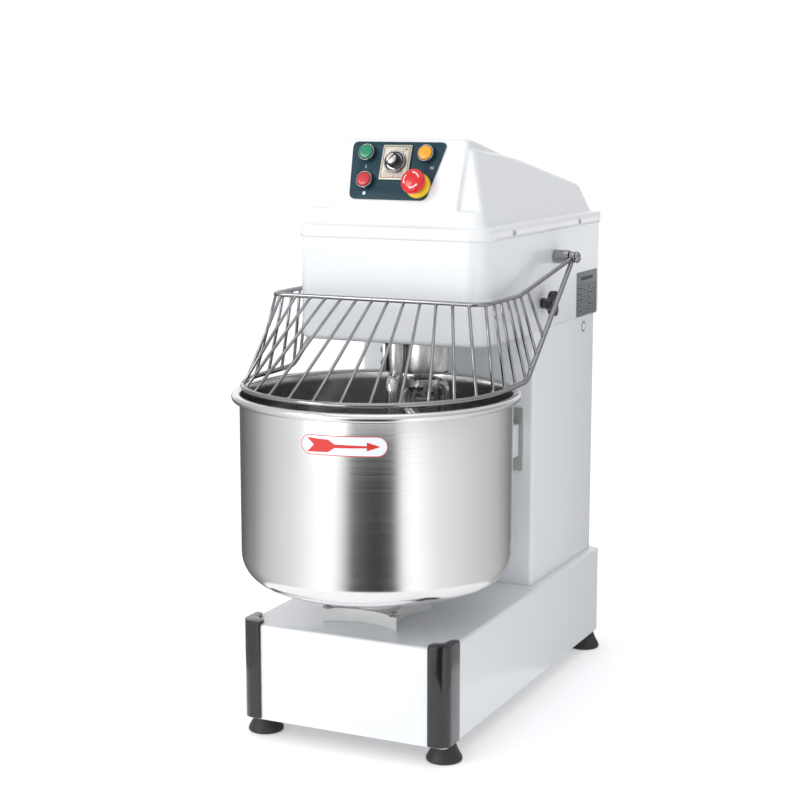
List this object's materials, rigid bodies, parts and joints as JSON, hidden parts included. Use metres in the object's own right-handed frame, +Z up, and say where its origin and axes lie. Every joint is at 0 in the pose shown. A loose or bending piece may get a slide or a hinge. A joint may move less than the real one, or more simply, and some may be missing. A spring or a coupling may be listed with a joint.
{
  "type": "spiral dough mixer",
  "caption": "Floor-standing spiral dough mixer: white body, turning steel bowl, spiral hook, breaker bar, lifting wire guard and sloped control panel.",
  "frame": {"origin": "centre of the whole object's box in X and Y, on the floor under the feet", "axes": "+Z up; the bowl and the controls face -Y; +X is the machine's right as seen from the front, the side with the clamp knob"},
  "size_m": [0.4286, 0.7771, 0.8901],
  "materials": {
    "white_paint": "gloss powder coat",
    "stainless": "satin",
    "chrome_wire": "polished",
    "black_rubber": "matte",
    "black_plastic": "gloss",
    "panel_blue": "satin film",
    "timer_plate": "satin",
    "green_cap": "gloss",
    "amber_cap": "gloss",
    "red_cap": "gloss",
    "collar_yellow": "gloss",
    "white_nylon": "matte",
    "cast_grey": "painted",
    "machined_steel": "machined",
    "chain_steel": "oiled"
  },
  "bodies": {
    "frame": {"base_housing": "white_paint", "column_housing": "white_paint", "rear_cover": "white_paint", "head_housing": "white_paint", "head_cover": "white_paint", "bowl_bearing_housing": "white_paint", "bowl_guide_plate": "stainless", "breaker_bar": "stainless", "breaker_bracket": "stainless", "spindle_housing": "stainless", "bearing_bolt_front_left": "stainless", "bearing_bolt_front_right": "stainless", "bearing_bolt_rear_left": "stainless", "bearing_bolt_rear_right": "stainless", "cover_screw_left_front": "stainless", "cover_screw_left_rear": "stainless", "cover_screw_right_front": "stainless", "cover_screw_right_rear": "stainless", "guard_pivot_left": "chrome_wire", "guard_pivot_right": "chrome_wire", "breaker_nut_lower": "chrome_wire", "breaker_nut_upper": "chrome_wire", "start_slow_bezel": "chrome_wire", "start_fast_bezel": "chrome_wire", "stop_bezel": "chrome_wire", "foot_front_left": "black_rubber", "foot_front_right": "black_rubber", "foot_rear_left": "black_rubber", "foot_rear_right": "black_rubber", "corner_guard_left": "black_plastic", "corner_guard_right": "black_plastic", "cable_gland": "black_plastic", "control_panel": "panel_blue", "timer_plate": "timer_plate", "estop_collar": "collar_yellow", "bowl_guide_pad_left": "white_nylon", "bowl_guide_pad_right": "white_nylon", "gearbox": "cast_grey", "motor_housing": "cast_grey", "motor_fan_cowl": "cast_grey", "lower_chain": "chain_steel", "upper_chain": "chain_steel"},
    "bowl": {"bowl": "stainless", "bowl_shaft": "machined_steel", "bowl_sprocket": "machined_steel"},
    "spiral": {"spiral_hook": "stainless", "spindle_shaft": "machined_steel", "spindle_sprocket": "machined_steel"},
    "main_shaft": {"main_shaft": "machined_steel", "main_shaft_lower_sprocket": "machined_steel", "main_shaft_upper_sprocket": "machined_steel"},
    "motor_fan": {"motor_fan": "black_plastic"},
    "guard": {"bowl_guard": "chrome_wire"},
    "slow_button": {"start_slow_button": "green_cap"},
    "fast_button": {"start_fast_button": "amber_cap"},
    "stop_button": {"stop_button": "red_cap"},
    "estop_stem": {"estop_stem": "red_cap"},
    "estop_head": {"estop_head": "red_cap"},
    "timer_knob": {"timer_knob": "chrome_wire"},
    "clamp_knob": {"clamp_knob": "black_plastic"}
  },
  "joints": [
    {"name": "main_shaft_spin", "type": "hinge", "parent": "frame", "child": "main_shaft", "pos_m": [0, 0.15055, 0.368], "axis": [0, 0, 1], "continuous": true},
    {"name": "spiral_spin", "type": "hinge", "parent": "frame", "child": "spiral", "pos_m": [0.028, -0.06745, 0.428], "axis": [0, 0, 1], "continuous": true},
    {"name": "bowl_spin", "type": "hinge", "parent": "frame", "child": "bowl", "pos_m": [0, -0.17425, 0.328], "axis": [0, 0, 1], "continuous": true},
    {"name": "motor_fan_spin", "type": "hinge", "parent": "frame", "child": "motor_fan", "pos_m": [0, 0.27555, 0.428], "axis": [0, 0, 1], "continuous": true},
    {"name": "guard_lift", "type": "hinge", "parent": "frame", "child": "guard", "pos_m": [0, 0.14855, 0.699], "axis": [-1, 0, 0], "range_deg": [0, 90]},
    {"name": "slow_button_press", "type": "slide", "parent": "frame", "child": "slow_button", "axis": [0, 0.9274, -0.3741], "range_m": [0, 0.004], "stiffness_N_per_m": 250},
    {"name": "fast_button_press", "type": "slide", "parent": "frame", "child": "fast_button", "axis": [0, 0.9274, -0.3741], "range_m": [0, 0.004], "stiffness_N_per_m": 250},
    {"name": "stop_button_press", "type": "slide", "parent": "frame", "child": "stop_button", "axis": [0, 0.9274, -0.3741], "range_m": [0, 0.004], "stiffness_N_per_m": 250},
    {"name": "estop_press", "type": "slide", "parent": "frame", "child": "estop_stem", "axis": [0, 0.9274, -0.3741], "range_m": [0, 0.004], "stiffness_N_per_m": 400},
    {"name": "estop_twist", "type": "hinge", "parent": "estop_stem", "child": "estop_head", "pos_m": [0.038, -0.12774, 0.82574], "axis": [0, 0.9274, -0.3741], "range_deg": [0, 40], "stiffness_Nm_per_rad": 0.05},
    {"name": "timer_turn", "type": "hinge", "parent": "frame", "child": "timer_knob", "pos_m": [-0.0045, -0.10523, 0.85483], "axis": [0, 0.9274, -0.3741], "range_deg": [0, 300]},
    {"name": "clamp_knob_turn", "type": "hinge", "parent": "frame", "child": "clamp_knob", "pos_m": [0.17, 0.09255, 0.63], "axis": [1, 0, 0], "range_deg": [0, 360]}
  ],
  "couplings": [
    {"joint": "spiral_spin", "follows": "main_shaft_spin", "ratio": 3.1667},
    {"joint": "bowl_spin", "follows": "main_shaft_spin", "ratio": 0.28889},
    {"joint": "motor_fan_spin", "follows": "main_shaft_spin", "ratio": 20}
  ]
}
